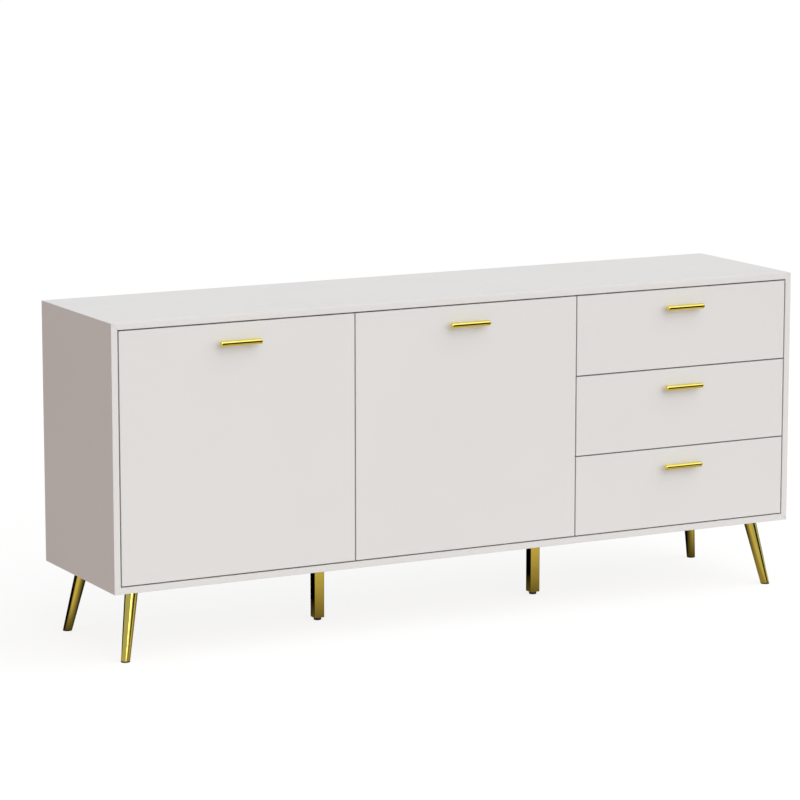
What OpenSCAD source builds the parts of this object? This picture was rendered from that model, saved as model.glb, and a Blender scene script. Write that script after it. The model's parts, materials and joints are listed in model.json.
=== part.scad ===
// Sideboard: a mitred case with two hinged doors and three drawers, on four
// splayed corner legs and two square centre legs.
// X runs along the width, +Y to the back, Z up. The origin is on the floor, in
// the middle of the outer box, handles included.

/* [Case] */
// Width of the case
case_w = 1760; // [1500:10:1900]
// Depth of the case, front to back
case_d = 400; // [390:5:480]
// Height of the case without its legs
case_h = 602; // [570:1:690]
// Thickness of the case boards, doors and drawer fronts
board = 15; // [15:0.5:18]
// Gap round each door and drawer front
gap = 3; // [2.5:0.1:3.2]
// Thickness of the back panels
back_t = 3; // [3:0.5:4]

/* [Legs] */
// Height from the floor to the underside of the case
leg_h = 161; // [130:1:220]
// Diameter of a corner leg at its top
leg_top_d = 30; // [24:0.5:34]
// Diameter of a corner leg at the floor
leg_foot_d = 20.5; // [16:0.5:24]
// Outward lean of a corner leg in X and in Y
leg_splay = 30.5; // [0:0.5:34]
// Distance from a corner leg's top centre to the side of the case
leg_inset_x = 67.4; // [60:0.2:120]
// Distance from a corner leg's top centre to the front or back of the case
leg_inset_y = 62.4; // [60:0.2:120]
// Width of the square centre legs
centre_leg_w = 25; // [22:0.5:30]

/* [Handles] */
// Diameter of the handle bar
handle_d = 13; // [10:0.5:14]
// Length of the handle bar
handle_len = 100; // [90:1:160]
// Distance from the front to the centre line of the bar
handle_out = 14; // [13:0.5:30]
// Distance from the top edge of a front down to the bar
handle_drop = 43; // [25:1:60]
// Distance between the two handle posts
post_pitch = 64; // [48:1:80]

/* [Drawers] */
// Length of the drawer box behind its front
drawer_len = 350; // [300:5:350]
// Height of the drawer box
drawer_box_h = 140; // [80:1:150]
// Thickness of the drawer sides and back
drawer_t = 12; // [12:0.5:15]

/* [Hidden] */
$fn = 48;

handle_reach = handle_out + handle_d / 2;
case_y = handle_reach / 2;
front_y = case_y - case_d / 2;
back_y = case_y + case_d / 2;
base_z = leg_h;
top_z = leg_h + case_h;
inner_w = case_w - 2 * board;
inner_h = case_h - 2 * board;
front_w = (inner_w - 4 * gap) / 3;
column_pitch = front_w + gap;
divider_x = column_pitch / 2;
door_h = inner_h - 2 * gap;
door_z = base_z + board + gap;
drawer_h = (inner_h - 4 * gap) / 3;

// Case joinery
divider_setback = 4;
divider_y = front_y + board + divider_setback;
back_inset = 12;
groove = 4;
groove_slack = 0.5;
back_panel_y = back_y - back_inset - back_t;
spline_w = 10;
spline_t = 3;
spline_end = 40;
dowel_d = 8;
dowel_len = 26;
dowel_in_panel = 8;
dowel_front = 40;
dowel_rear = 50;
dowel_ys = [divider_y + dowel_front, case_y, back_panel_y - dowel_rear];
cam_d = 15;
cam_deep = 12;
cam_end = 24;
cam_bolt_d = 6;
cam_bolt_in_panel = 9;
cam_bolt_in_cam = 4;
cam_front = 75;
cam_rear = 85;
cam_ys = [divider_y + cam_front, back_panel_y - cam_rear];

// Shelves on pins
shelf_clear = 1;
shelf_setback = 12;
shelf_air = 2;
shelf_y0 = front_y + board + shelf_setback;
shelf_y1 = back_panel_y - shelf_air;
pin_d = 5;
pin_in = 6.5;
pin_out = 8;
pin_step = 32;
pin_end = 45;
pin_drop = 10;
pin_ys = [divider_y + pin_end, back_panel_y - pin_end];
pin_z = base_z + case_h / 2 - pin_drop;

// Legs
plate_w = 64;
plate_t = 3;
plate_r = 6;
plate_screw = 25;
leg_wall = 1.5;
glide_t = 3;
glide_plug = 12;
leg_top_x = case_w / 2 - leg_inset_x;
leg_top_y = case_d / 2 - leg_inset_y;
leg_len = sqrt(leg_h * leg_h + 2 * leg_splay * leg_splay);
leg_tilt = atan(leg_splay * sqrt(2) / leg_h);
centre_leg_ahead = 3;
centre_leg_y = case_y - centre_leg_ahead;
tube_z = 6.8;
tube_r = 2.5;
insert_h = 15;
stud_d = 8;
stud_len = 28;
foot_h = 6.5;
foot_d = 18;
foot_chamfer = 1;

// Concealed hinges: the origin of a hinge is its pin
hinge_edge = 8;
hinge_deep = 6.2;
hinge_end = 100;
hinge_zs = [door_z + hinge_end, door_z + door_h - hinge_end];
cup_d = 35;
cup_edge = 3;
cup_x = cup_edge + cup_d / 2 - hinge_edge;
cup_deep = 12;
cup_wall = 0.7;
cup_screw_x = 5.5;
cup_screw_z = 22.5;
ear_z = 4.3;
ear_t = 2;
ear_r = 2.6;
door_rear = board - hinge_deep;
flange_t = 1.2;
arm_w = 8;
arm_t = 2;
arm_reach = 12.5;
arm_back = 18;
arm_end = 60;
arm_end_half = 6;
knuckle_d = 4;
hinge_pin_d = 2.2;
hinge_plate_t = 2;
hinge_plate_y0 = 16;
hinge_plate_y1 = 62;
hinge_plate_half = 24;
hinge_screw_y = 38;
hinge_screw_z = 16;

// Screws
screw_d = 3.5;
screw_in = 11;
screw_seat = 0.05;
head_d = 6.6;
head_t = 1.5;
m4_d = 3.9;
m4_in_post = 8;
m4_head_d = 7.6;
m4_head_t = 2.4;

// Drawer boxes and ball-bearing slides
slide_t = 12.7;
slide_h = 45;
slide_len = drawer_len;
slide_wall = 1.2;
slide_setback = 2;
channel_lip = 10;
link_web = 5.4;
link_in = 2.4;
link_less = 4.4;
runner_in = 7.6;
runner_less = 9;
box_lift = 20;
bottom_t = 3;
bottom_lift = 10;
bottom_groove = 5;
bay_x0 = divider_x + board / 2;
bay_x1 = inner_w / 2;
box_x0 = bay_x0 + slide_t;
box_x1 = bay_x1 - slide_t;
box_y0 = front_y + board;
box_y1 = box_y0 + drawer_len;
slide_y0 = divider_y + slide_setback;
slide_screws = [30, 160, 290];

// Overlap that joins two shapes, and the space that keeps two pieces apart
tiny = 0.01;
hair = 0.1;

// Centre of a column of fronts: 0 left, 1 middle, 2 right
function column_x(i) = (i - 1) * column_pitch;
// Lower edge of a drawer front: 0 top, 1 middle, 2 bottom
function drawer_z(i) = door_z + (2 - i) * (drawer_h + gap);
// Height of the slides of a drawer
function slide_z(i) = drawer_z(i) + box_lift + drawer_box_h / 2;
// Hinge pin of a door, and the wall that its plates are fixed to
function pin_x(i) = column_x(i) - front_w / 2 + hinge_edge;
function wall_x(i) = i == 0 ? -inner_w / 2 : -divider_x + board / 2;

// ---- Helpers ----

// A box between two opposite corners
module block(lo, hi) {
    translate(lo) cube([hi[0] - lo[0], hi[1] - lo[1], hi[2] - lo[2]]);
}

// Turns a child drawn along Z to run along +X (sign 1) or -X (sign -1)
module along_x(sign) {
    rotate([0, 90 * sign, 0]) children();
}

// Turns a child drawn along Z to run along +Y
module along_y() {
    rotate([-90, 0, 0]) children();
}

module mirror_x(mirrored) {
    if (mirrored) mirror([1, 0, 0]) children();
    else children();
}

// Pan-head wood screw along +Z, its head under z = 0
module wood_screw() {
    translate([0, 0, -screw_seat - tiny]) cylinder(d = screw_d, h = screw_in);
    translate([0, 0, -screw_seat - head_t]) cylinder(d = head_d, h = head_t);
}

// Hole that leaves a hair of space round a wood screw; thickness is that of the
// plate in front of it, or 0 for a pilot hole in wood
module screw_hole(thickness = 0) {
    depth = thickness > 0 ? thickness + tiny : screw_in;
    translate([0, 0, -tiny]) cylinder(d = screw_d + hair, h = depth + tiny);
}

module rounded_square(w, r) {
    square([w, w - 2 * r], center = true);
    square([w - 2 * r, w], center = true);
    for (x = [-1, 1], y = [-1, 1]) {
        translate([x * (w / 2 - r), y * (w / 2 - r)]) circle(r = r);
    }
}

// ---- Case ----

// One board of the case ring, mitred at both ends: turned by angle about the
// centre of the case, its outer face at a distance of reach from that centre
module ring_board(angle, length, reach) {
    half = length / 2;
    translate([0, back_y, base_z + case_h / 2])
        rotate([90, 0, 0])
            rotate([0, 0, angle])
                linear_extrude(case_d)
                    polygon([
                        [-half, reach], [half, reach],
                        [half - board, reach - board], [board - half, reach - board]
                    ]);
}

// The groove that the back panels sit in
module back_groove() {
    block(
        [-inner_w / 2 - groove, back_panel_y, base_z + board - groove],
        [inner_w / 2 + groove, back_panel_y + back_t, top_z - board + groove]
    );
}

// Glued strips across the four mitres
module splines() {
    for (x = [-1, 1], z = [-1, 1]) {
        translate([
            x * (case_w / 2 - board / 2), case_y,
            base_z + case_h / 2 + z * (case_h / 2 - board / 2)
        ])
            rotate([0, 45 * x * z, 0])
                cube([spline_w, case_d - 2 * spline_end, spline_t], center = true);
    }
}

// Places a child at both ends of both dividers, drawn along +Z into the divider
module divider_ends(ys) {
    for (x = [-divider_x, divider_x], y = ys) {
        translate([x, y, base_z + board]) children();
        translate([x, y, top_z - board]) mirror([0, 0, 1]) children();
    }
}

module dowels() {
    divider_ends(dowel_ys)
        translate([0, 0, -dowel_in_panel]) cylinder(d = dowel_d, h = dowel_len);
}

module cams() {
    divider_ends(cam_ys)
        translate([-board / 2, 0, cam_end]) along_x(1) cylinder(d = cam_d, h = cam_deep);
}

module bolts() {
    bolt_len = cam_bolt_in_panel + cam_end - cam_d / 2 + cam_bolt_in_cam;
    divider_ends(cam_ys)
        translate([0, 0, -cam_bolt_in_panel]) cylinder(d = cam_bolt_d, h = bolt_len);
}

// Places a child at each leg plate: four at the corners, two in the middle
module plate_places() {
    for (x = [-1, 1], y = [-1, 1]) {
        translate([x * leg_top_x, case_y + y * leg_top_y, base_z - plate_t]) children();
    }
    for (x = [-divider_x, divider_x]) {
        translate([x, centre_leg_y, base_z - plate_t]) children();
    }
}

module plate_screw_places() {
    plate_places()
        for (x = [-1, 1], y = [-1, 1]) {
            translate([x * plate_screw, y * plate_screw, 0]) children();
        }
}

// Places a child at each hinge of a door
module hinge_places(i) {
    for (z = hinge_zs) {
        translate([pin_x(i), front_y + hinge_deep, z]) children();
    }
}

// Screw places on the hinge plates, drawn along +Z into the wall
module hinge_wall_screws(i) {
    hinge_places(i)
        for (z = [-1, 1]) {
            translate([wall_x(i) - pin_x(i) + hinge_plate_t, hinge_screw_y, z * hinge_screw_z])
                along_x(-1) children();
        }
}

// Screw places on the slide channels, drawn along +Z into the wall
module slide_wall_screws() {
    for (i = [0, 1, 2], y = slide_screws) {
        translate([bay_x0 + slide_wall, slide_y0 + y, slide_z(i)]) along_x(-1) children();
        translate([bay_x1 - slide_wall, slide_y0 + y, slide_z(i)]) along_x(1) children();
    }
}

module top_panel() {
    color("white")
        difference() {
            ring_board(0, case_w, case_h / 2);
            back_groove();
            splines();
            dowels();
            bolts();
        }
}

module bottom_panel() {
    color("white")
        difference() {
            ring_board(180, case_w, case_h / 2);
            back_groove();
            splines();
            dowels();
            bolts();
            plate_screw_places() screw_hole();
        }
}

// Holes for the shelf pins in a wall that faces +X (sign 1) or -X (sign -1)
module pin_holes(x, sign) {
    for (y = pin_ys, step = [-1, 0, 1]) {
        translate([x, y, pin_z + step * pin_step]) along_x(-sign)
            cylinder(d = pin_d, h = pin_in);
    }
}

module left_side_panel() {
    color("white")
        difference() {
            ring_board(90, case_h, case_w / 2);
            back_groove();
            splines();
            pin_holes(-inner_w / 2, 1);
            hinge_wall_screws(0) screw_hole();
        }
}

module right_side_panel() {
    color("white")
        difference() {
            ring_board(270, case_h, case_w / 2);
            back_groove();
            splines();
            slide_wall_screws() screw_hole();
        }
}

module divider(x) {
    difference() {
        block(
            [x - board / 2, divider_y, base_z + board],
            [x + board / 2, back_y, top_z - board]
        );
        for (side = [-1, 1]) {
            translate([x + side * (board / 2 - groove / 2), back_panel_y + back_t / 2, 0])
                translate([-groove / 2, -back_t / 2, base_z]) cube([groove, back_t, case_h]);
        }
        dowels();
        bolts();
        cams();
    }
}

module left_divider() {
    color("white")
        difference() {
            divider(-divider_x);
            pin_holes(-divider_x - board / 2, -1);
            pin_holes(-divider_x + board / 2, 1);
            hinge_wall_screws(1) screw_hole();
        }
}

module right_divider() {
    color("white")
        difference() {
            divider(divider_x);
            pin_holes(divider_x - board / 2, -1);
            slide_wall_screws() screw_hole();
        }
}

// Thin panel that closes one bay from x0 to x1, its edges in the grooves
module back_panel(x0, x1) {
    reach = groove - groove_slack;
    color("white")
        block(
            [x0 - reach, back_panel_y, base_z + board - reach],
            [x1 + reach, back_panel_y + back_t, top_z - board + reach]
        );
}

module shelf(x0, x1) {
    color("white")
        block(
            [x0 + shelf_clear, shelf_y0, pin_z + pin_d / 2],
            [x1 - shelf_clear, shelf_y1, pin_z + pin_d / 2 + board]
        );
}

module left_back_panel() {
    back_panel(-inner_w / 2, -divider_x - board / 2);
}

module middle_back_panel() {
    back_panel(-divider_x + board / 2, divider_x - board / 2);
}

module right_back_panel() {
    back_panel(bay_x0, bay_x1);
}

module left_shelf() {
    shelf(-inner_w / 2, -divider_x - board / 2);
}

module middle_shelf() {
    shelf(-divider_x + board / 2, divider_x - board / 2);
}

module shelf_pins() {
    color("silver")
        for (y = pin_ys) {
            for (x = [-inner_w / 2, -divider_x + board / 2]) {
                translate([x - pin_in, y, pin_z]) along_x(1)
                    cylinder(d = pin_d, h = pin_in + pin_out);
            }
            for (x = [-divider_x - board / 2, divider_x - board / 2]) {
                translate([x - pin_out, y, pin_z]) along_x(1)
                    cylinder(d = pin_d, h = pin_in + pin_out);
            }
        }
}

module corner_splines() {
    color("tan") splines();
}

module divider_dowels() {
    color("tan") dowels();
}

module cam_locks() {
    color("silver")
        difference() {
            cams();
            bolts();
        }
}

module cam_bolts() {
    color("silver") bolts();
}

// ---- Legs ----

// Solid cone of a corner leg on its slanted axis, made thinner by inset all
// round, and cut off level at z0 and z1
module leg_cone(sx, sy, inset, z0, z1) {
    over = 20;
    around = 80;
    slope = (leg_top_d - leg_foot_d) / 2 / leg_len;
    intersection() {
        translate([sx * (leg_top_x + leg_splay), case_y + sy * (leg_top_y + leg_splay), 0])
            rotate([0, leg_tilt, atan2(-sy, -sx)])
                translate([0, 0, -over])
                    cylinder(
                        r1 = leg_foot_d / 2 - inset - slope * over,
                        r2 = leg_top_d / 2 - inset + slope * over,
                        h = leg_len + 2 * over,
                        $fn = 64
                    );
        block(
            [sx * leg_top_x - around, case_y + sy * leg_top_y - around, z0],
            [sx * leg_top_x + around, case_y + sy * leg_top_y + around, z1]
        );
    }
}

module corner_leg(sx, sy) {
    color("goldenrod")
        difference() {
            leg_cone(sx, sy, 0, glide_t, base_z - plate_t);
            leg_cone(sx, sy, leg_wall, 0, base_z);
        }
}

module front_left_leg() {
    corner_leg(-1, -1);
}

module front_right_leg() {
    corner_leg(1, -1);
}

module rear_left_leg() {
    corner_leg(-1, 1);
}

module rear_right_leg() {
    corner_leg(1, 1);
}

module leg_plates() {
    color("goldenrod")
        difference() {
            plate_places() linear_extrude(plate_t) rounded_square(plate_w, plate_r);
            plate_screw_places() screw_hole(plate_t);
        }
}

module leg_glides() {
    fit = 0.1;
    color([0.12, 0.12, 0.12])
        for (sx = [-1, 1], sy = [-1, 1]) {
            leg_cone(sx, sy, fit, 0, glide_t);
            leg_cone(sx, sy, leg_wall + fit, glide_t - tiny, glide_t + glide_plug);
        }
}

module centre_leg(x) {
    color("goldenrod")
        translate([x, centre_leg_y, tube_z])
            linear_extrude(base_z - plate_t - tube_z)
                difference() {
                    rounded_square(centre_leg_w, tube_r);
                    rounded_square(centre_leg_w - 2 * leg_wall, tube_r - leg_wall);
                }
}

module left_centre_leg() {
    centre_leg(-divider_x);
}

module right_centre_leg() {
    centre_leg(divider_x);
}

// Threaded plugs in the lower ends of the centre legs
module centre_leg_inserts() {
    color([0.12, 0.12, 0.12])
        for (x = [-divider_x, divider_x]) {
            translate([x, centre_leg_y, tube_z])
                difference() {
                    linear_extrude(insert_h)
                        rounded_square(centre_leg_w - 2 * leg_wall, tube_r - leg_wall);
                    translate([0, 0, -tiny]) cylinder(d = stud_d, h = insert_h + 2 * tiny);
                }
        }
}

// Levelling foot with its stud, screwed in all the way
module centre_foot(x) {
    running_fit = 0.05;
    color([0.12, 0.12, 0.12])
        translate([x, centre_leg_y, 0]) {
            cylinder(d1 = foot_d - 2 * foot_chamfer, d2 = foot_d, h = foot_chamfer);
            translate([0, 0, foot_chamfer])
                cylinder(d = foot_d, h = foot_h - foot_chamfer);
            translate([0, 0, foot_h - tiny])
                cylinder(d = stud_d - 2 * running_fit, h = stud_len);
        }
}

module left_centre_foot() {
    centre_foot(-divider_x);
}

module right_centre_foot() {
    centre_foot(divider_x);
}

module wood_screws() {
    color("silver") {
        plate_screw_places() wood_screw();
        for (i = [0, 1]) {
            hinge_wall_screws(i) wood_screw();
        }
        slide_wall_screws() wood_screw();
    }
}

// ---- Hinges ----

module hinge_plates() {
    color("silver")
        difference() {
            for (i = [0, 1]) {
                wall = wall_x(i) - pin_x(i);
                hinge_places(i)
                    block(
                        [wall, hinge_plate_y0, -hinge_plate_half],
                        [wall + hinge_plate_t, hinge_plate_y1, hinge_plate_half]
                    );
            }
            for (i = [0, 1]) {
                hinge_wall_screws(i) screw_hole(hinge_plate_t);
            }
        }
}

// Goose-neck arms from the pin in the cup to the plate on the wall, and the pins
module hinge_arms() {
    pin_half = ear_z + ear_t;
    color("silver")
        for (i = [0, 1]) {
            seat = wall_x(i) - pin_x(i) + hinge_plate_t;
            hinge_places(i) {
                difference() {
                    union() {
                        cylinder(d = knuckle_d, h = arm_w, center = true);
                        block(
                            [0, -arm_t / 2, -arm_w / 2],
                            [arm_reach + arm_t / 2, arm_t / 2, arm_w / 2]
                        );
                        block(
                            [arm_reach - arm_t / 2, -arm_t / 2, -arm_w / 2],
                            [arm_reach + arm_t / 2, arm_back + arm_t / 2, arm_w / 2]
                        );
                        block(
                            [seat, arm_back - arm_t / 2, -arm_w / 2],
                            [arm_reach + arm_t / 2, arm_back + arm_t / 2, arm_w / 2]
                        );
                        block(
                            [seat, arm_back - arm_t / 2, -arm_end_half],
                            [seat + arm_t, arm_end, arm_end_half]
                        );
                    }
                    cylinder(d = hinge_pin_d + hair, h = arm_w + 1, center = true);
                }
                cylinder(d = hinge_pin_d, h = 2 * pin_half, center = true);
            }
        }
}

// Screw places on the flanges of a door's hinge cups, drawn along +Z into the door
module cup_screws(i) {
    hinge_places(i)
        for (z = [-1, 1]) {
            translate([cup_x + cup_screw_x, door_rear + flange_t, z * cup_screw_z])
                rotate([90, 0, 0]) children();
        }
}

// Pressed steel cup with its flange and the two ears that turn on the pin
module hinge_cup() {
    cup_outer = cup_d - 2 * hair;
    rim = 1;
    flange_h = 54;
    flange_x0 = -9;
    flange_x1 = 14;
    difference() {
        union() {
            translate([cup_x, door_rear - cup_deep, 0]) along_y()
                cylinder(d = cup_outer, h = cup_deep);
            translate([cup_x, door_rear, 0]) along_y()
                cylinder(d = cup_d + 2 * rim, h = flange_t);
            block(
                [cup_x + flange_x0, door_rear, -flange_h / 2],
                [cup_x + flange_x1, door_rear + flange_t, flange_h / 2]
            );
        }
        translate([cup_x, door_rear - cup_deep + cup_wall, 0]) along_y()
            cylinder(d = cup_outer - 2 * cup_wall, h = cup_deep + flange_t);
    }
    difference() {
        for (z = [-ear_z - ear_t, ear_z]) {
            block(
                [-ear_r, door_rear - cup_deep + cup_wall / 2, z],
                [ear_r, ear_r, z + ear_t]
            );
        }
        cylinder(d = hinge_pin_d + hair, h = 4 * (ear_z + ear_t), center = true);
    }
}

module hinge_cups(i) {
    color("silver") {
        difference() {
            hinge_places(i) hinge_cup();
            cup_screws(i) screw_hole(flange_t);
        }
        cup_screws(i) wood_screw();
    }
}

// Soft discs that each door closes on
module door_bumpers() {
    bumper_d = 5.6;
    bumper_edge = 3.1;
    bumper_end = 40;
    air = 0.3;
    color([0.8, 0.8, 0.8])
        for (wall = [-divider_x - board / 2, divider_x - board / 2]) {
            for (z = [door_z + bumper_end, door_z + door_h - bumper_end]) {
                translate([wall + bumper_edge, divider_y, z]) rotate([90, 0, 0])
                    cylinder(d = bumper_d, h = divider_setback - air);
            }
        }
}

// ---- Doors and handles ----

// Screw places of a handle on a front whose top edge is at z
module handle_screw_places(x, z) {
    for (side = [-1, 1]) {
        translate([x + side * post_pitch / 2, front_y, z - handle_drop]) children();
    }
}

// Bar on two posts, with the two screws that hold it from behind the front
module bar_handle(x, z) {
    chamfer = 0.8;
    post_d = 8;
    color("gold") {
        difference() {
            union() {
                translate([x, front_y - handle_out, z - handle_drop]) along_x(1) {
                    cylinder(d = handle_d, h = handle_len - 2 * chamfer, center = true);
                    for (side = [0, 1]) {
                        mirror([0, 0, side])
                            translate([0, 0, handle_len / 2 - chamfer - tiny])
                                cylinder(
                                    d1 = handle_d, d2 = handle_d - 2 * chamfer,
                                    h = chamfer + tiny
                                );
                    }
                }
                handle_screw_places(x, z) rotate([90, 0, 0])
                    cylinder(d = post_d, h = handle_out);
            }
            handle_screw_places(x, z) rotate([90, 0, 0])
                translate([0, 0, -tiny]) cylinder(d = m4_d + hair, h = m4_in_post + 1);
        }
        handle_screw_places(x, z) rotate([90, 0, 0]) {
            translate([0, 0, -board - screw_seat])
                cylinder(d = m4_d, h = board + screw_seat + m4_in_post);
            translate([0, 0, -board - m4_head_t - screw_seat])
                cylinder(d = m4_head_d, h = m4_head_t + tiny);
        }
    }
}

module handle_holes(x, z) {
    handle_screw_places(x, z) translate([0, -tiny, 0]) along_y()
        cylinder(d = m4_d + hair, h = board + 2 * tiny);
}

module door_panel(i) {
    color("white")
        difference() {
            block(
                [column_x(i) - front_w / 2, front_y, door_z],
                [column_x(i) + front_w / 2, front_y + board, door_z + door_h]
            );
            hinge_places(i)
                translate([cup_x, door_rear - cup_deep, 0]) along_y()
                    cylinder(d = cup_d, h = cup_deep + tiny);
            cup_screws(i) screw_hole();
            handle_holes(column_x(i), door_z + door_h);
        }
}

module left_door_panel() {
    door_panel(0);
}

module left_door_handle() {
    bar_handle(column_x(0), door_z + door_h);
}

module left_door_hinge_cups() {
    hinge_cups(0);
}

module middle_door_panel() {
    door_panel(1);
}

module middle_door_handle() {
    bar_handle(column_x(1), door_z + door_h);
}

module middle_door_hinge_cups() {
    hinge_cups(1);
}

// ---- Drawers ----

// Dowels that hold a drawer's sides to its front and its back; slack makes the
// holes for them
module drawer_dowels(i, slack = 0) {
    peg_d = 6;
    peg_len = 25;
    in_front = 9;
    side_skin = 4;
    top_end = 25;
    front_low = 30;
    back_low = 40;
    box_z = drawer_z(i) + box_lift;
    for (
        x = [box_x0 + drawer_t / 2, box_x1 - drawer_t / 2],
        z = [front_low, drawer_box_h - top_end]
    ) {
        translate([x, box_y0 - in_front - slack, box_z + z]) along_y()
            cylinder(d = peg_d + slack, h = peg_len + 2 * slack);
    }
    for (z = [back_low, drawer_box_h - top_end]) {
        translate([box_x0 + side_skin - slack, box_y1 - drawer_t / 2, box_z + z])
            along_x(1) cylinder(d = peg_d + slack, h = peg_len + 2 * slack);
        translate([box_x1 - side_skin + slack, box_y1 - drawer_t / 2, box_z + z])
            along_x(-1) cylinder(d = peg_d + slack, h = peg_len + 2 * slack);
    }
}

// Bottom board of a drawer, in grooves in the sides and the front
module drawer_bottom(i) {
    z = drawer_z(i) + box_lift + bottom_lift;
    block(
        [box_x0 + drawer_t - bottom_groove, box_y0 - bottom_groove, z],
        [box_x1 - drawer_t + bottom_groove, box_y1, z + bottom_t]
    );
}

module drawer_floor(i) {
    color("whitesmoke") drawer_bottom(i);
}

module drawer_front(i) {
    color("white")
        difference() {
            block(
                [column_x(2) - front_w / 2, front_y, drawer_z(i)],
                [column_x(2) + front_w / 2, front_y + board, drawer_z(i) + drawer_h]
            );
            handle_holes(column_x(2), drawer_z(i) + drawer_h);
            drawer_dowels(i, hair);
            drawer_bottom(i);
        }
}

// Both sides of a drawer, with the dowels in their ends
module drawer_sides(i) {
    box_z = drawer_z(i) + box_lift;
    color("whitesmoke") {
        for (x = [box_x0, box_x1 - drawer_t]) {
            difference() {
                block([x, box_y0, box_z], [x + drawer_t, box_y1, box_z + drawer_box_h]);
                drawer_bottom(i);
                drawer_dowels(i, hair);
                runner_screws(i) screw_hole();
            }
        }
        drawer_dowels(i);
    }
}

module drawer_back(i) {
    box_z = drawer_z(i) + box_lift;
    color("whitesmoke")
        difference() {
            block(
                [box_x0 + drawer_t, box_y1 - drawer_t, box_z + bottom_lift + bottom_t],
                [box_x1 - drawer_t, box_y1, box_z + drawer_box_h]
            );
            drawer_dowels(i, hair);
        }
}

// Section of a slide member as a C: web from u0 to u1, flanges out to u2
module slide_section(u0, u1, u2, height) {
    difference() {
        translate([min(u0, u2), -height / 2]) square([max(u1, u2) - min(u0, u2), height]);
        translate([u2 > u0 ? u1 : u2 - tiny, slide_wall - height / 2])
            square([abs(u2 > u0 ? u2 - u1 : u0 - u2) + tiny, height - 2 * slide_wall]);
    }
}

// Places a slide section, drawn with X away from the wall, on both walls
module slide_pair(i) {
    for (left = [true, false]) {
        translate([left ? bay_x0 : bay_x1, slide_y0 + slide_len, slide_z(i)])
            mirror_x(!left) rotate([90, 0, 0]) linear_extrude(slide_len) children();
    }
}

module slide_channels() {
    color("silver")
        difference() {
            for (i = [0, 1, 2]) {
                slide_pair(i) slide_section(0, slide_wall, channel_lip, slide_h);
            }
            slide_wall_screws() screw_hole(slide_wall);
        }
}

module slide_links(i) {
    color("silver")
        slide_pair(i) {
            slide_section(link_web, link_web + slide_wall, channel_lip, slide_h - link_less);
            slide_section(link_web, link_web + slide_wall, link_in, slide_h - link_less);
        }
}

// Screw places on a drawer's runners, drawn along +Z into the drawer side
module runner_screws(i) {
    for (y = slide_screws) {
        translate([box_x0 - slide_wall, slide_y0 + y, slide_z(i)]) along_x(1) children();
        translate([box_x1 + slide_wall, slide_y0 + y, slide_z(i)]) along_x(-1) children();
    }
}

module drawer_runners(i) {
    color("silver") {
        difference() {
            slide_pair(i)
                slide_section(slide_t - slide_wall, slide_t, runner_in, slide_h - runner_less);
            runner_screws(i) screw_hole(slide_wall);
        }
        runner_screws(i) wood_screw();
    }
}

top_panel();
bottom_panel();
left_side_panel();
right_side_panel();
left_divider();
right_divider();
left_back_panel();
middle_back_panel();
right_back_panel();
left_shelf();
middle_shelf();
shelf_pins();
corner_splines();
divider_dowels();
cam_locks();
cam_bolts();
front_left_leg();
front_right_leg();
rear_left_leg();
rear_right_leg();
leg_plates();
leg_glides();
left_centre_leg();
right_centre_leg();
centre_leg_inserts();
left_centre_foot();
right_centre_foot();
wood_screws();
hinge_plates();
hinge_arms();
door_bumpers();
slide_channels();
left_door_panel();
left_door_handle();
left_door_hinge_cups();
middle_door_panel();
middle_door_handle();
middle_door_hinge_cups();
drawer_front(0);  // top_drawer_front
bar_handle(column_x(2), drawer_z(0) + drawer_h);  // top_drawer_handle
drawer_sides(0);  // top_drawer_sides
drawer_back(0);  // top_drawer_back
drawer_floor(0);  // top_drawer_bottom
drawer_runners(0);  // top_drawer_runners
slide_links(0);  // top_slide_links
drawer_front(1);  // middle_drawer_front
bar_handle(column_x(2), drawer_z(1) + drawer_h);  // middle_drawer_handle
drawer_sides(1);  // middle_drawer_sides
drawer_back(1);  // middle_drawer_back
drawer_floor(1);  // middle_drawer_bottom
drawer_runners(1);  // middle_drawer_runners
slide_links(1);  // middle_slide_links
drawer_front(2);  // bottom_drawer_front
bar_handle(column_x(2), drawer_z(2) + drawer_h);  // bottom_drawer_handle
drawer_sides(2);  // bottom_drawer_sides
drawer_back(2);  // bottom_drawer_back
drawer_floor(2);  // bottom_drawer_bottom
drawer_runners(2);  // bottom_drawer_runners
slide_links(2);  // bottom_slide_links
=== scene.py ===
# Sideboard in a pale studio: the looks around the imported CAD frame.
import json
import math

import bmesh
import bpy
from mathutils import Matrix, Vector


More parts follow.
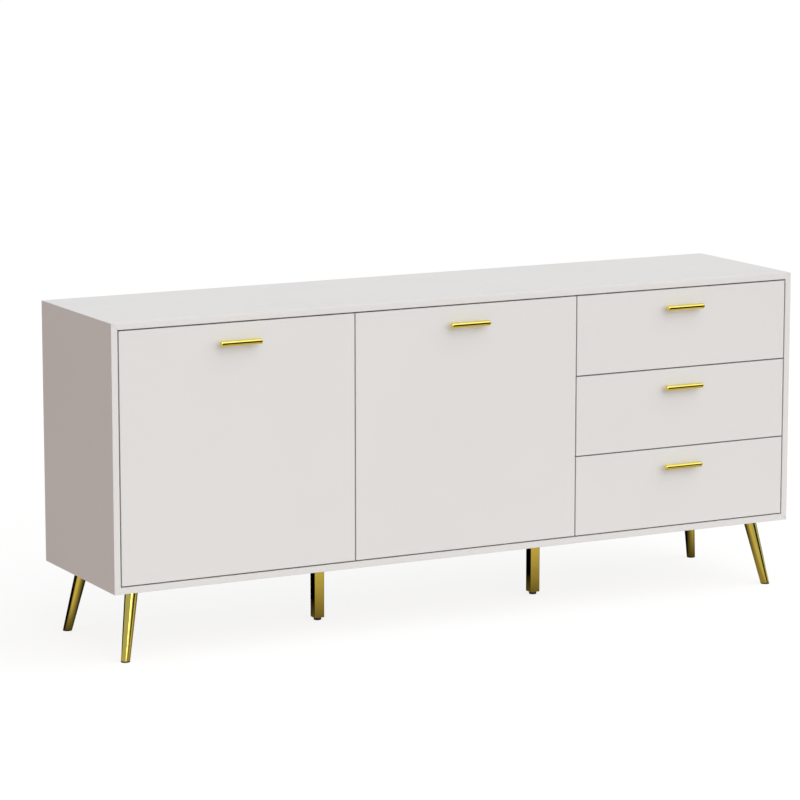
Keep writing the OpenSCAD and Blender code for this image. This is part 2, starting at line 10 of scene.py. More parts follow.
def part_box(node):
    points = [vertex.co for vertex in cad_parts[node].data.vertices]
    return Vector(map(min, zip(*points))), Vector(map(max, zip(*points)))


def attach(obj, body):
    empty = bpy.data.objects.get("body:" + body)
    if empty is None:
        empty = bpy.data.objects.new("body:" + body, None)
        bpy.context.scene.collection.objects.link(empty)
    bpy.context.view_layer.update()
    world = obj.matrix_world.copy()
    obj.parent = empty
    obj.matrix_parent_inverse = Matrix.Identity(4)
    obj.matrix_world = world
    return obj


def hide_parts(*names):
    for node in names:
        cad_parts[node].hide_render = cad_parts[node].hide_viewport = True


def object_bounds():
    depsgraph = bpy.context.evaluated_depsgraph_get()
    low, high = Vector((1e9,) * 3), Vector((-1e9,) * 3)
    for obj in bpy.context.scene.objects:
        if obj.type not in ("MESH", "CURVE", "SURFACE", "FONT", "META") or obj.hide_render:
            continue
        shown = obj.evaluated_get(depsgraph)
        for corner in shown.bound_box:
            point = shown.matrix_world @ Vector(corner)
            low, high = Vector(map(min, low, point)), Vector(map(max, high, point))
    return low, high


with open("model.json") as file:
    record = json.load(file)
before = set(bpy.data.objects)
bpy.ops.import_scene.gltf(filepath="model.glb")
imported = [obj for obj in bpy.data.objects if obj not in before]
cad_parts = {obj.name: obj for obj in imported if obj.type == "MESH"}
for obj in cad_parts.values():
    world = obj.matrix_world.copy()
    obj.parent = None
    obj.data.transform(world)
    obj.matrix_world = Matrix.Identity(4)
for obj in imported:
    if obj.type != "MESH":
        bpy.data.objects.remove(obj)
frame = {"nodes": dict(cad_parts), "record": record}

NODES = frame["nodes"]
CAD_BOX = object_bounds()
MM = 0.001


def rgb(red, green, blue):
    return (red, green, blue, 1.0)


def grey(level):
    return rgb(level, level, level)


# ---- Driving dimensions, from the frame ----

case_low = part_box("left_side_panel")[0]
case_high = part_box("right_side_panel")[1]
case_centre_y = (case_low.y + case_high.y) / 2
leg_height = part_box("bottom_panel")[0].z
floor_z = CAD_BOX[0].z

# The front that each body's handle is screwed to
FRONTS = {
    "left_door": "left_door_panel",
    "middle_door": "middle_door_panel",
    "top_drawer": "top_drawer_front",
    "middle_drawer": "middle_drawer_front",
    "bottom_drawer": "bottom_drawer_front",
}

# ---- Edges ----

# Radius of the edges of each material
EDGE = {
    "white_laminate": 0.7 * MM,
    "white_board": 0.3 * MM,
    "drawer_board": 0.5 * MM,
    "brass": 0.4 * MM,
    "steel": 0.15 * MM,
    "black_plastic": 0.3 * MM,
    "dowel_wood": 0.3 * MM,
    "clear_rubber": 0.3 * MM,
}
EDGE_SEGMENTS = 3
# Corners nearer than this are one corner
WELD_REACH = 0.005 * MM
# Degrees between faces: less is one flat face, more is an edge to round
FLAT_BELOW = 0.5
ROUND_ABOVE = 40

# ---- Handles ----

BAR_END_ROUND = 2.0 * MM
BAR_SEGMENTS = 72
POST_D = 8.0 * MM
POST_PITCH = 64.0 * MM
POST_SEGMENTS = 48
# How far a post reaches into its bar
POST_SINK = 0.15 * MM
# The flange at the foot of a post: extra radius, distance from the front
POST_FLANGE = [
    (1.2 * MM, 0.0),
    (1.2 * MM, 0.8 * MM),
    (0.8 * MM, 1.2 * MM),
    (0.3 * MM, 1.5 * MM),
    (0.0, 2.0 * MM),
]
SCREW_D = 3.9 * MM
SCREW_HEAD_D = 7.6 * MM
SCREW_HEAD_T = 2.4 * MM

# ---- Screws ----

SCREW_SEGMENTS = 48
# Shape of a pan head: parts of the head's radius and of its height
PAN_HEAD = [(1.0, 0.0), (1.0, 0.35), (0.95, 0.62), (0.8, 0.88), (0.62, 1.0)]
# The blunt tip, as a part of the shank's radius
SCREW_TIP = 0.6
# The cross recess: reach of its arms as a part of the head's radius, width of an arm as a part
# of that reach, its smaller floor as a part of that reach, and the floor's height as a part of
# the head's
RECESS_REACH = 0.55
RECESS_WIDTH = 0.42
RECESS_FLOOR_REACH = 0.8
RECESS_FLOOR = 0.3
WOOD_SCREW_D = 3.5 * MM
WOOD_SCREW_HEAD_D = 6.6 * MM
WOOD_SCREW_HEAD_T = 1.5 * MM
WOOD_SCREW_LENGTH = 11.0 * MM
# Points further than this from a wood screw's axis belong to its head
WOOD_SCREW_HEAD_FROM = 0.7 * WOOD_SCREW_D

# ---- Corner legs ----

LEG_WALL = 1.5 * MM
LEG_TOP_D = 30.0 * MM
LEG_FOOT_D = 20.5 * MM
LEG_SPLAY = 30.5 * MM
LEG_INSET_X = 67.4 * MM
LEG_INSET_Y = 62.4 * MM
# Depth of the hollow at a leg's foot
LEG_HOLLOW = 6.0 * MM
LEG_SEGMENTS = 96
LEG_RINGS = 12
# Easing of the rims, and the parts of it that place the points between
RIM_EASE = 0.5 * MM
FOOT_EASE_MIDDLE = 0.3
TOP_EASE_START = 0.2

# ---- Levelling feet ----

FOOT_SEGMENTS = 144
# The rounded sole: how far inside the rim, and the height
SOLE = [
    (1.3 * MM, 0.0),
    (0.9 * MM, 0.2 * MM),
    (0.1 * MM, 1.1 * MM),
    (0.0, 1.5 * MM),
]
GRIP_HEIGHTS = (1.9 * MM, 3.0 * MM, 4.5 * MM, 6.0 * MM)
GRIP_NOTCHES = 12
GRIP_DEPTH = 0.06
RIM_HEIGHT = 6.5 * MM
RIM_SLOPE = 0.5 * MM
STUD_D = 8.0 * MM
STUD_PITCH = 1.25 * MM
STUD_THREAD = 0.5 * MM
STUD_CREST = 0.05 * MM
# Where the root and the crest of the thread lie within one pitch
ROOT_AT = 0.3
CREST_AT = 0.8

# ---- Studio ----

FLOOR_SIZE = 120
FLOOR_TONE = 0.2
FLOOR_SPECKLE = 1.02
FLOOR_GLOW = 0.81
# The painted floor reflection is a glowing card that only reflections see, with a painted shadow
# under the case: half sizes, height, tint, and how bright it is in the open and under the case
PAINTED_FLOOR_REFLECTION_X = 2.4
PAINTED_FLOOR_REFLECTION_Y = 1.3
PAINTED_FLOOR_REFLECTION_UP = 0.2 * MM
PAINTED_FLOOR_REFLECTION_TINT = rgb(1.07, 0.91, 0.60)
PAINTED_FLOOR_REFLECTION_LIT = 0.60
PAINTED_SHADOW_UNDER_CASE = 0.07
# Where its painted shade turns from dim to lit towards the front (Y) and towards the ends (X), and
# from lit to painted black behind (Y)
PAINTED_LIT_AHEAD = (0.06, -0.5)
PAINTED_LIT_ASIDE = (0.7, 1.0)
PAINTED_SHADE_BEHIND = (0.05, 0.2)
# What the brass mirrors, in degrees to the right of straight ahead of the fronts and above the
# horizon: name, (from, to, softness) across, (from, to, softness) up, brightness
BASE_GLOW = 0.48
MIRRORED = [
    ("back_wall", (-400, -130, 8), (-90, 90, 5), 0.03),
    ("rear", (120, 175, 8), (-20, 60, 8), 0.75),
    ("ceiling", (-400, 400, 5), (26, 100, 6), 0.8),
    ("overhead", (-60, 66, 10), (26, 100, 6), 1.6),
    ("key", (-19, 17, 3), (9, 60, 2), 4.2),
    ("flag", (21.5, 62, 3), (-32, 22, 3), 0.01),
]
# Soft light from the room: ahead and above, from the left, from below, from below left
AMBIENT = rgb(0.55, 0.55, 0.553)
AMBIENT_LEFT = rgb(0.61, 0.55, 0.53)
AMBIENT_LOW = rgb(0.55, 0.525, 0.51)
AMBIENT_LOW_LEFT = rgb(0.645, 0.52, 0.465)
# What counts as left, in X, and as below, in Z, of a direction: from, to, softness
FROM_LEFT = (-2.0, -0.15, 0.35)
FROM_BELOW = (-2.0, -0.05, 0.25)
BACKGROUND = grey(1.0)
KEY_STRENGTH = 2.24
KEY_SPREAD = 90
KEY_COLOUR = (1.0, 0.995, 0.99)
TOWARD_KEY = Vector((0.45, -0.655, 0.64))

# ---- Camera ----

# Its place from the middle of the case on the floor, and the angles at which it looks
CAMERA_X = -3.8388
CAMERA_Y = -7.1993
CAMERA_UP = 1.9142
CAMERA_DOWN = 9.874
CAMERA_RIGHT = 27.634
CAMERA_LENS = 159.4
CAMERA_SENSOR = 36.0
CAMERA_REACH = 200.0


# ---- Node helpers ----

class Nodes:
    """A node tree, with short calls for the nodes used here."""

    def __init__(self, tree):
        self.tree = tree

    def add(self, kind, **settings):
        node = self.tree.nodes.new(kind)
        for key, value in settings.items():
            setattr(node, key, value)
        return node

    def link(self, output, socket):
        self.tree.links.new(output, socket)

    def put(self, socket, value):
        """Links a socket to a node's output, or sets it to a plain value."""
        if hasattr(value, "links"):
            self.link(value, socket)
        else:
            socket.default_value = value

    def remap(self, value, low, high, start=0.3, end=0.7, curve="LINEAR"):
        """Takes start to end onto low to high, and holds the ends."""
        node = self.add("ShaderNodeMapRange", interpolation_type=curve)
        self.link(value, node.inputs["Value"])
        node.inputs["From Min"].default_value = start
        node.inputs["From Max"].default_value = end
        node.inputs["To Min"].default_value = low
        node.inputs["To Max"].default_value = high
        return node.outputs["Result"]

    def math(self, operation, a, b=0.0):
        node = self.add("ShaderNodeMath", operation=operation)
        self.put(node.inputs[0], a)
        self.put(node.inputs[1], b)
        return node.outputs["Value"]

    def mix(self, factor, a, b, kind="RGBA"):
        """Value a where factor is 0 and b where it is 1."""
        node = self.add("ShaderNodeMix", data_type=kind)
        for name, value in (("Factor", factor), ("A", a), ("B", b)):
            self.put(node.inputs[name], value)
        return node.outputs["Result"]


class Shader(Nodes):
    """A new material, seen from its Principled shader."""

    def __init__(self, name):
        self.material = bpy.data.materials.new(name)
        self.material.use_nodes = True
        super().__init__(self.material.node_tree)
        self.bsdf = self.tree.nodes["Principled BSDF"]
        self.place = self.add("ShaderNodeTexCoord").outputs["Object"]

    def noise(self, scale, stretch=(1, 1, 1), detail=4.0, roughness=0.55):
        """Noise in the object's own coordinates, scaled along each axis by stretch."""
        mapping = self.add("ShaderNodeMapping")
        self.link(self.place, mapping.inputs["Vector"])
        mapping.inputs["Scale"].default_value = stretch
        node = self.add("ShaderNodeTexNoise")
        self.link(mapping.outputs["Vector"], node.inputs["Vector"])
        node.inputs["Scale"].default_value = scale
        node.inputs["Detail"].default_value = detail
        node.inputs["Roughness"].default_value = roughness
        return node.outputs["Fac"]

    def bump(self, height, strength, distance):
        node = self.add("ShaderNodeBump")
        self.link(height, node.inputs["Height"])
        node.inputs["Strength"].default_value = strength
        node.inputs["Distance"].default_value = distance
        self.link(node.outputs["Normal"], self.bsdf.inputs["Normal"])

    def set(self, **values):
        for key, value in values.items():
            self.put(self.bsdf.inputs[key.replace("_", " ")], value)

    def tone(self, factor, dark, light):
        self.set(Base_Color=self.mix(factor, dark, light))


# ---- Materials ----

def white_laminate():
    """Satin white foil on board: faint pressed grain, cloudy tone, fine orange peel."""
    shader = Shader("white_laminate")
    clouds = shader.noise(3.0, detail=3.0)
    grain = shader.noise(60.0, stretch=(0.6, 0.6, 6.0), detail=5.0)
    fine = shader.noise(900.0, detail=2.0)
    shader.tone(
        shader.remap(clouds, 0.0, 1.0), dark=rgb(0.712, 0.719, 0.719), light=rgb(0.728, 0.736, 0.737)
    )
    shader.set(Roughness=shader.remap(grain, 0.40, 0.50), IOR=1.46)
    height = shader.math(
        "ADD", shader.math("MULTIPLY", grain, 0.6), shader.math("MULTIPLY", fine, 0.4)
    )
    shader.bump(height, strength=0.10, distance=0.2 * MM)
    return shader.material


def white_board():
    """Matt white lacquer on thin hardboard."""
    shader = Shader("white_board")
    fibres = shader.noise(240.0, detail=6.0, roughness=0.7)
    clouds = shader.noise(5.0)
    shader.tone(clouds, dark=rgb(0.68, 0.67, 0.655), light=rgb(0.72, 0.71, 0.70))
    shader.set(Roughness=shader.remap(fibres, 0.55, 0.72))
    shader.bump(fibres, strength=0.18, distance=0.3 * MM)
    return shader.material


def drawer_board():
    """White melamine on drawer sides, with a light pearl grain."""
    shader = Shader("drawer_board")
    pearl = shader.noise(380.0, detail=3.0)
    clouds = shader.noise(7.0)
    shader.tone(clouds, dark=rgb(0.66, 0.65, 0.63), light=rgb(0.70, 0.69, 0.67))
    shader.set(Roughness=shader.remap(pearl, 0.42, 0.55))
    shader.bump(pearl, strength=0.12, distance=0.2 * MM)
    return shader.material


def brass():
    """Polished yellow brass plating: fine draw lines, thin haze, darker in places."""
    shader = Shader("brass")
    haze = shader.noise(38.0, detail=5.0)
    lines = shader.noise(700.0, stretch=(1.0, 1.0, 0.08), detail=3.0)
    shader.tone(
        shader.remap(haze, 0.0, 1.0), dark=rgb(0.80, 0.66, 0.125), light=rgb(0.86, 0.72, 0.165)
    )
    shader.set(Metallic=1.0, Roughness=shader.remap(haze, 0.07, 0.13))
    shader.set(Coat_Weight=0.3, Coat_Roughness=0.06)
    shader.bump(lines, strength=0.02, distance=0.05 * MM)
    return shader.material


def steel():
    """Zinc-plated steel with a drawn grain."""
    shader = Shader("steel")
    drawn = shader.noise(420.0, stretch=(1.0, 0.05, 1.0), detail=4.0)
    spangle = shader.noise(70.0, detail=2.0)
    shader.tone(spangle, dark=rgb(0.52, 0.52, 0.53), light=rgb(0.64, 0.64, 0.65))
    shader.set(Metallic=1.0, Roughness=shader.remap(drawn, 0.26, 0.42))
    shader.bump(drawn, strength=0.08, distance=0.1 * MM)
    return shader.material


def black_plastic():
    """Moulded black plastic with a spark-eroded grain and scuffs."""
    shader = Shader("black_plastic")
    grain = shader.noise(1400.0, detail=2.0)
    scuffs = shader.noise(160.0, detail=4.0)
    shader.tone(shader.remap(scuffs, 0.0, 1.0), dark=grey(0.012), light=grey(0.03))
    shader.set(Roughness=shader.remap(grain, 0.42, 0.6))
    shader.bump(grain, strength=0.25, distance=0.1 * MM)
    return shader.material


def beech():
    """Raw beech: straight grain with short darker flecks."""
    shader = Shader("beech")
    rays = shader.noise(160.0, stretch=(1.0, 1.0, 0.12), detail=6.0)
    shader.tone(shader.remap(rays, 0.0, 1.0), dark=rgb(0.46, 0.28, 0.14), light=rgb(0.68, 0.47, 0.28))
    shader.set(Roughness=0.62)
    shader.bump(rays, strength=0.3, distance=0.3 * MM)
    return shader.material


def clear_rubber():
    """Cloudy soft bumper."""
    shader = Shader("clear_rubber")
    cloud = shader.noise(500.0, detail=3.0)
    shader.tone(cloud, dark=rgb(0.60, 0.60, 0.59), light=rgb(0.72, 0.72, 0.71))
    shader.set(Roughness=shader.remap(cloud, 0.35, 0.5), Transmission_Weight=0.25)
    shader.bump(cloud, strength=0.1, distance=0.1 * MM)
    return shader.material


MATERIALS = {
    "white_laminate": white_laminate(),
    "white_board": white_board(),
    "drawer_board": drawer_board(),
    "brass": brass(),
    "steel": steel(),
    "black_plastic": black_plastic(),
    "dowel_wood": beech(),
    "clear_rubber": clear_rubber(),
}


# ---- CAD nodes: real edges and real materials ----

def even_normals(obj, mode):
    even = obj.modifiers.new("even", "WEIGHTED_NORMAL")
    even.mode = mode
    even.keep_sharp = False
    for polygon in obj.data.polygons:
        polygon.use_smooth = True


def soften_edges(obj, width):
    """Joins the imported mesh's split corners and rounds its sharp edges."""
    obj.data.attributes.remove(obj.data.attributes["custom_normal"])
    weld = obj.modifiers.new("weld", "WELD")
    weld.merge_threshold = WELD_REACH
    flat = obj.modifiers.new("flat", "DECIMATE")
    flat.decimate_type = "DISSOLVE"
    flat.angle_limit = math.radians(FLAT_BELOW)
    bevel = obj.modifiers.new("edge", "BEVEL")
    bevel.width = width
    bevel.segments = EDGE_SEGMENTS
    bevel.limit_method = "ANGLE"
    bevel.angle_limit = math.radians(ROUND_ABOVE)
    bevel.use_clamp_overlap = False
    even_normals(obj, "FACE_AREA")


def dress_cad_nodes():
    slots = {part["node"]: part["material_slot"] for part in frame["record"]["subparts"]}
    for name, obj in NODES.items():
        slot = slots[name]
        obj.data.materials.clear()
        obj.data.materials.append(MATERIALS[slot])
        soften_edges(obj, EDGE[slot])


# ---- Mesh building ----

def arc_corner(before, corner, after, radius, steps=6):
    """Points that round one corner of a profile to a radius."""
    into = (before - corner).normalized()
    out = (after - corner).normalized()
    half = into.angle(out) / 2
    reach = radius / math.tan(half)
    centre = corner + (into + out).normalized() * (radius / math.sin(half))
    start = corner + into * reach - centre
    end = corner + out * reach - centre
    turn = start.angle_signed(end)
    return [centre + start @ Matrix.Rotation(turn * i / steps, 2) for i in range(steps + 1)]


def profile(*corners):
    """An outline of (radius, height) corners, each with an optional rounding radius."""
    points = [Vector(corner[:2]) for corner in corners]
    outline = []
    for i, corner in enumerate(corners):
        if len(corner) > 2:
            outline += arc_corner(points[i - 1], points[i], points[i + 1], corner[2])
        else:
            outline.append(points[i])
    return outline


def loft(bm, rings):
    """Skins rings of points, each ring a list of the same length, and closes both ends."""
    layers = [[bm.verts.new(point) for point in ring] for ring in rings]
    count = len(layers[0])
    for lower, upper in zip(layers, layers[1:]):
        for i in range(count):
            j = (i + 1) % count
            bm.faces.new((lower[i], lower[j], upper[j], upper[i]))
    bm.faces.new(list(reversed(layers[0])))
    bm.faces.new(layers[-1])


def circle(radius, height, segments, shape=None):
    """One ring about Z; shape turns an angle into a factor on the radius."""
    ring = []
    for i in range(segments):
        angle = 2 * math.pi * i / segments
        r = radius * (shape(angle) if shape else 1.0)
        ring.append(Vector((r * math.cos(angle), r * math.sin(angle), height)))
    return ring


def lathe(bm, outline, segments, place):
    """Turns an outline of (radius, height) about the Z axis of place."""
    least = 0.01 * MM
    loft(bm, [[place @ p for p in circle(max(r, least), h, segments)] for r, h in outline])


def make_piece(name, bm, body, slot, replaced=()):
    bmesh.ops.recalc_face_normals(bm, faces=bm.faces)
    mesh = bpy.data.meshes.new(name)
    bm.to_mesh(mesh)
    bm.free()
    obj = bpy.data.objects.new(name, mesh)
    bpy.context.scene.collection.objects.link(obj)
    mesh.materials.append(MATERIALS[slot])
    even_normals(obj, "FACE_AREA_WITH_ANGLE")
    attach(obj, body)
    if replaced:
        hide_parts(*replaced)


# ---- Screws ----

def cross_recess(angle):
    """Factor on a radius that gives a plus sign with arms of length 1."""
    across, along = sorted((abs(math.cos(angle)), abs(math.sin(angle))))
    return min(1 / along, RECESS_WIDTH / 2 / max(across, 1e-6))


def pan_head_screw(bm, place, head_r, head_t, shank_r, shank_length):
    """Screw whose head stands up along +Z of place and whose shank goes down."""
    def ring(radius, height, shape=None):
        return circle(radius, height, SCREW_SEGMENTS, shape)

    arm = head_r * RECESS_REACH
    rings = [
        ring(shank_r * SCREW_TIP, -shank_length),
        ring(shank_r, -shank_length + shank_r),
        ring(shank_r, 0),
    ]
    rings += [ring(head_r * r, head_t * h) for r, h in PAN_HEAD]
    rings.append(ring(arm, head_t, cross_recess))
    rings.append(ring(arm * RECESS_FLOOR_REACH, head_t * RECESS_FLOOR, cross_recess))
    loft(bm, [[place @ p for p in points] for points in rings])


def solids_of(node):
    """The points of each separate solid in a CAD node."""
    bm = bmesh.new()
    bm.from_mesh(NODES[node].data)
    bmesh.ops.remove_doubles(bm, verts=bm.verts, dist=WELD_REACH)
    bm.verts.ensure_lookup_table()
    solids, seen = [], set()
    for start in bm.verts:
        if start.index in seen:
            continue
        seen.add(start.index)
        found, waiting = [], [start]
        while waiting:
            vert = waiting.pop()
            found.append(vert.co.copy())
            for edge in vert.link_edges:
                other = edge.other_vert(vert)
                if other.index not in seen:
                    seen.add(other.index)
                    waiting.append(other)
        solids.append(found)
    bm.free()
    return solids


def screw_seat(points):
    """Where the head of a plain screw sits, with Z out of its head."""
    low = Vector([min(p[k] for p in points) for k in range(3)])
    high = Vector([max(p[k] for p in points) for k in range(3)])
    centre = (low + high) / 2
    along = max(range(3), key=lambda k: high[k] - low[k])
    across = [k for k in range(3) if k != along]
    head = [
        p[along] for p in points
        if max(abs(p[k] - centre[k]) for k in across) > WOOD_SCREW_HEAD_FROM
    ]
    up = Vector((0, 0, 0))
    up[along] = 1 if sum(head) / len(head) > centre[along] else -1
    top = centre.copy()
    top[along] = high[along] if up[along] > 0 else low[along]
    seat = top - up * WOOD_SCREW_HEAD_T
    return Matrix.Translation(seat) @ up.to_track_quat("Z", "X").to_matrix().to_4x4()


def make_wood_screws(node, body):
    """A cross-recess screw in the place of each plain one."""
    bm = bmesh.new()
    for points in solids_of(node):
        pan_head_screw(
            bm, screw_seat(points), WOOD_SCREW_HEAD_D / 2, WOOD_SCREW_HEAD_T,
            WOOD_SCREW_D / 2, WOOD_SCREW_LENGTH,
        )
    make_piece(node + "_crossed", bm, body, "steel", [node])


# ---- Handles ----

def make_handle(body, front):
    """A turned bar on two saddled posts, and the two screws behind the front."""
    node = body + "_handle"
    low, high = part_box(node)
    face_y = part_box(front)[0].y
    back_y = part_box(front)[1].y
    centre_x = (low.x + high.x) / 2
    bar_r = (high.z - low.z) / 2
    half = (high.x - low.x) / 2
    axis = Vector((centre_x, low.y + bar_r, (low.z + high.z) / 2))
    post_r = POST_D / 2
    post_places = [centre_x + side * POST_PITCH / 2 for side in (-1, 1)]

    bm = bmesh.new()
    along_x = Matrix.Translation(axis) @ Matrix.Rotation(math.radians(90), 4, "Y")
    bar = profile(
        (0, -half), (bar_r, -half, BAR_END_ROUND), (bar_r, half, BAR_END_ROUND), (0, half)
    )
    lathe(bm, bar, BAR_SEGMENTS, along_x)
    for x in post_places:
        rings = []
        for extra, out in POST_FLANGE:
            points = circle(post_r + extra, 0, POST_SEGMENTS)
            rings.append([Vector((x + p.x, face_y - out, axis.z + p.y)) for p in points])
        saddle = []
        for p in circle(post_r, 0, POST_SEGMENTS):
            behind = math.sqrt(bar_r ** 2 - p.y ** 2) - POST_SINK
            saddle.append(Vector((x + p.x, axis.y + behind, axis.z + p.y)))
        rings.append(saddle)
        loft(bm, rings)
    make_piece(node + "_bar", bm, body, "brass", [node])

    bm = bmesh.new()
    for x in post_places:
        place = Matrix.Translation((x, back_y, axis.z)) @ Matrix.Rotation(math.radians(-90), 4, "X")
        pan_head_screw(bm, place, SCREW_HEAD_D / 2, SCREW_HEAD_T, SCREW_D / 2, back_y - face_y)
    make_piece(node + "_screws", bm, body, "steel")


# ---- Legs ----

def level_ring(foot, top, foot_r, top_r, height):
    """Where a tapered leg's surface is cut by a level plane: one ring of points."""
    axis = top - foot
    place = Matrix.Translation(foot) @ axis.to_track_quat("Z", "X").to_matrix().to_4x4()
    ring = []
    for flat in circle(1.0, 0, LEG_SEGMENTS):
        low = place @ (flat * foot_r)
        high = place @ (flat * top_r + Vector((0, 0, axis.length)))
        ring.append(low.lerp(high, (height - low.z) / (high.z - low.z)))
    return ring


def make_corner_leg(node):
    """A tapered tube on its slanted axis, cut level at both ends, with eased rims."""
    low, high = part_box(node)
    corner_x = case_high.x if high.x > 0 else case_low.x
    corner_y = case_high.y if high.y > case_centre_y else case_low.y
    inward = Vector((math.copysign(1, -corner_x), math.copysign(1, case_centre_y - corner_y), 0))
    inset = Vector((LEG_INSET_X * inward.x, LEG_INSET_Y * inward.y, leg_height))
    top = Vector((corner_x, corner_y, 0)) + inset
    foot = top - inward * LEG_SPLAY - Vector((0, 0, leg_height))

    def ring(height, inside=0.0):
        return level_ring(foot, top, LEG_FOOT_D / 2 - inside, LEG_TOP_D / 2 - inside, height)

    start = low.z + RIM_EASE
    length = high.z - low.z - 2 * RIM_EASE
    middle = RIM_EASE * FOOT_EASE_MIDDLE
    rings = [
        ring(low.z + LEG_HOLLOW, LEG_WALL), ring(low.z, LEG_WALL), ring(low.z, RIM_EASE),
        ring(low.z + middle, middle), ring(start),
    ]
    rings += [ring(start + length * i / LEG_RINGS) for i in range(1, LEG_RINGS)]
    rings += [ring(high.z - RIM_EASE * TOP_EASE_START), ring(high.z, RIM_EASE)]
    bm = bmesh.new()
    loft(bm, rings)
    make_piece(node + "_tube", bm, "root", "brass", [node])


def grip(angle):
    """Factor on a radius that cuts round notches into a rim."""
    return 1 - GRIP_DEPTH * max(0.0, math.cos(GRIP_NOTCHES * angle)) ** 2


def make_levelling_foot(node, body):
    """A moulded foot with a notched rim on a threaded stud."""
    low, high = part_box(node)
    radius = (high.x - low.x) / 2
    stud_r = STUD_D / 2
    place = Matrix.Translation(((low.x + high.x) / 2, (low.y + high.y) / 2, low.z))

    def ring(r, height, shape=None):
        return circle(r, height, FOOT_SEGMENTS, shape)

    rings = [ring(radius - inside, height) for inside, height in SOLE]
    rings += [ring(radius, height, grip) for height in GRIP_HEIGHTS]
    rings += [ring(radius - RIM_SLOPE, RIM_HEIGHT, grip), ring(stud_r, RIM_HEIGHT)]
    top = high.z - low.z
    for turn in range(math.floor((top - RIM_HEIGHT) / STUD_PITCH)):
        height = RIM_HEIGHT + turn * STUD_PITCH
        rings.append(ring(stud_r - STUD_THREAD, height + ROOT_AT * STUD_PITCH))
        rings.append(ring(stud_r - STUD_CREST, height + CREST_AT * STUD_PITCH))
    rings.append(ring(stud_r - STUD_THREAD, top))
    bm = bmesh.new()
    loft(bm, [[place @ p for p in points] for points in rings])
    make_piece(node + "_grip", bm, body, "black_plastic", [node])


# ---- Stage: floor, light and camera ----

def make_floor():
    bpy.ops.mesh.primitive_plane_add(size=FLOOR_SIZE)
    floor = bpy.context.object
    floor.name = "floor"
    shader = Shader("floor")
    speckle = shader.noise(0.5)
    shader.tone(speckle, dark=grey(FLOOR_TONE), light=grey(FLOOR_TONE * FLOOR_SPECKLE))
    shader.set(Roughness=0.9, Specular_IOR_Level=0.0)
    shader.set(Emission_Color=grey(1.0), Emission_Strength=FLOOR_GLOW)
    floor.data.materials.append(shader.material)
    floor.visible_glossy = False
    floor.visible_diffuse = False


def make_painted_floor_reflection():
    """What shiny legs mirror low down, as a painted floor reflection: a glowing card, no lamp,
    painted lit in front and painted dim under the case as a painted shadow.
    """
    bpy.ops.mesh.primitive_plane_add(size=1)
    card = bpy.context.object
    card.name = "painted_floor_reflection"
    card.scale = (2 * PAINTED_FLOOR_REFLECTION_X, 2 * PAINTED_FLOOR_REFLECTION_Y, 1)
    card.location = (0, 0, PAINTED_FLOOR_REFLECTION_UP)
    shader = Shader("painted_floor_reflection")
    place = shader.add("ShaderNodeSeparateXYZ")
    shader.link(shader.add("ShaderNodeNewGeometry").outputs["Position"], place.inputs["Vector"])
    x, y = place.outputs["X"], place.outputs["Y"]
    # Painted light and shade of the card: lit ahead and at the ends, a painted shadow under the case,
    # painted black behind it
    ahead = shader.remap(y, 0.0, 1.0, *PAINTED_LIT_AHEAD)
    aside = shader.remap(shader.math("ABSOLUTE", x), 0.0, 1.0, *PAINTED_LIT_ASIDE)
    behind = shader.remap(y, 1.0, 0.0, *PAINTED_SHADE_BEHIND)
    open_floor = shader.math("MAXIMUM", ahead, aside)
    lit = shader.math("MULTIPLY", open_floor, PAINTED_FLOOR_REFLECTION_LIT - PAINTED_SHADOW_UNDER_CASE)
    painted_reflection_glow = shader.math("MULTIPLY", shader.math("ADD", lit, PAINTED_SHADOW_UNDER_CASE), behind)
    shader.set(Base_Color=grey(0.0), Specular_IOR_Level=0.0)
    # The card glows with this painted floor reflection, though it is no lamp
    shader.set(Emission_Color=PAINTED_FLOOR_REFLECTION_TINT, Emission_Strength=painted_reflection_glow)
    card.data.materials.append(shader.material)
    for kind in ("camera", "diffuse", "transmission", "volume_scatter", "shadow"):
        setattr(card, "visible_" + kind, False)


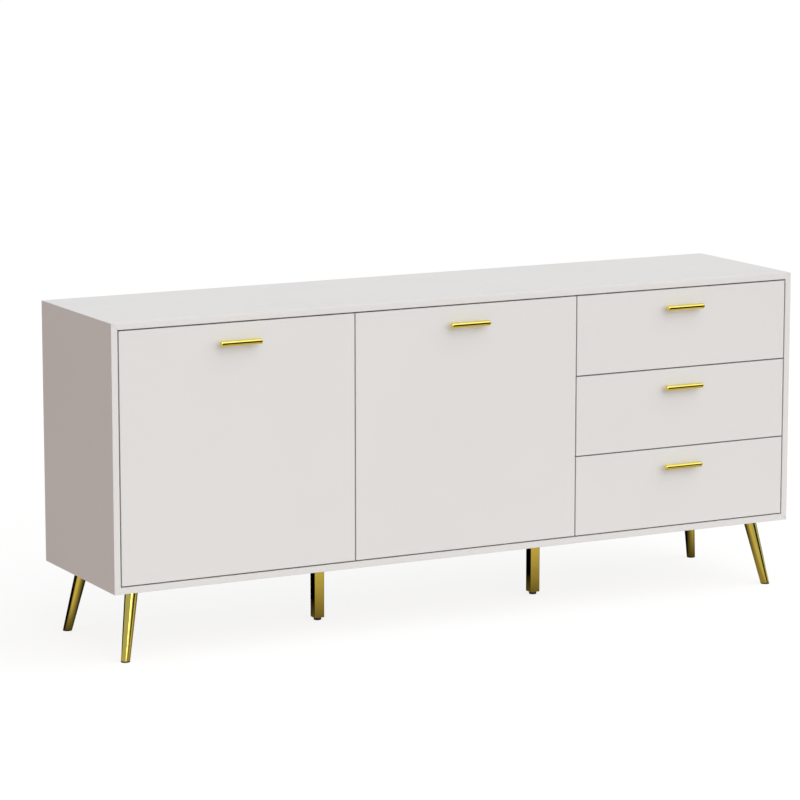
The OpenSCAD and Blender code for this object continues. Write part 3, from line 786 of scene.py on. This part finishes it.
def make_world():
    """Even soft light; what shiny parts mirror is a studio with a key, a flag and a ceiling."""
    world = bpy.data.worlds.new("studio")
    world.use_nodes = True
    bpy.context.scene.world = world
    world.node_tree.nodes.clear()
    nodes = Nodes(world.node_tree)

    def band(value, low, high, soft):
        """1 between low and high, falling to 0 over soft on both sides."""
        rise = nodes.remap(value, 0.0, 1.0, low - soft, low + soft, "SMOOTHSTEP")
        fall = nodes.remap(value, 0.0, 1.0, high + soft, high - soft, "SMOOTHSTEP")
        return nodes.math("MULTIPLY", rise, fall)

    direction = nodes.add("ShaderNodeSeparateXYZ")
    nodes.link(nodes.add("ShaderNodeTexCoord").outputs["Generated"], direction.inputs["Vector"])
    x, y, z = (direction.outputs[axis] for axis in "XYZ")
    ahead = nodes.math("MULTIPLY", y, -1.0)
    across = nodes.math("MULTIPLY", nodes.math("ARCTAN2", x, ahead), math.degrees(1))
    up = nodes.math("MULTIPLY", nodes.math("ARCSINE", z), math.degrees(1))

    level = BASE_GLOW
    for _, across_band, up_band, brightness in MIRRORED:
        area = nodes.math("MULTIPLY", band(across, *across_band), band(up, *up_band))
        level = nodes.mix(area, level, brightness, "FLOAT")
    mirrored = nodes.add("ShaderNodeCombineColor")
    for channel in mirrored.inputs:
        nodes.link(level, channel)

    left = band(x, *FROM_LEFT)
    high_light = nodes.mix(left, AMBIENT, AMBIENT_LEFT)
    low_light = nodes.mix(left, AMBIENT_LOW, AMBIENT_LOW_LEFT)
    soft_light = nodes.mix(band(z, *FROM_BELOW), high_light, low_light)
    rays = nodes.add("ShaderNodeLightPath")
    colour = nodes.mix(rays.outputs["Is Glossy Ray"], soft_light, mirrored.outputs["Color"])
    colour = nodes.mix(rays.outputs["Is Camera Ray"], colour, BACKGROUND)
    background = nodes.add("ShaderNodeBackground")
    nodes.link(colour, background.inputs["Color"])
    output = nodes.add("ShaderNodeOutputWorld")
    nodes.link(background.outputs["Background"], output.inputs["Surface"])


def make_lights():
    sun = bpy.data.lights.new("soft_key", "SUN")
    sun.energy = KEY_STRENGTH
    sun.angle = math.radians(KEY_SPREAD)
    sun.color = KEY_COLOUR
    lamp = bpy.data.objects.new("soft_key", sun)
    lamp.rotation_euler = TOWARD_KEY.to_track_quat("Z", "Y").to_euler()
    lamp.visible_glossy = False
    bpy.context.scene.collection.objects.link(lamp)


def make_camera():
    data = bpy.data.cameras.new("camera")
    data.sensor_width = CAMERA_SENSOR
    data.lens = CAMERA_LENS
    data.clip_end = CAMERA_REACH
    camera = bpy.data.objects.new("camera", data)
    camera.location = (CAMERA_X, case_centre_y + CAMERA_Y, floor_z + CAMERA_UP)
    camera.rotation_euler = (math.radians(90 - CAMERA_DOWN), 0.0, math.radians(-CAMERA_RIGHT))
    bpy.context.scene.collection.objects.link(camera)
    bpy.context.scene.camera = camera


def set_view():
    scene = bpy.context.scene
    scene.view_settings.view_transform = "Standard"
    scene.view_settings.look = "None"
    scene.view_settings.exposure = 0.0


make_camera()
dress_cad_nodes()
for body, front in FRONTS.items():
    make_handle(body, front)
for corner in ("front_left", "front_right", "rear_left", "rear_right"):
    make_corner_leg(corner + "_leg")
for side in ("left", "right"):
    make_levelling_foot(side + "_centre_foot", side + "_foot")
make_wood_screws("wood_screws", "root")
make_floor()
# Painted floor reflection with a painted shadow under the case, seen only in reflections
make_painted_floor_reflection()
make_world()
make_lights()
set_view()
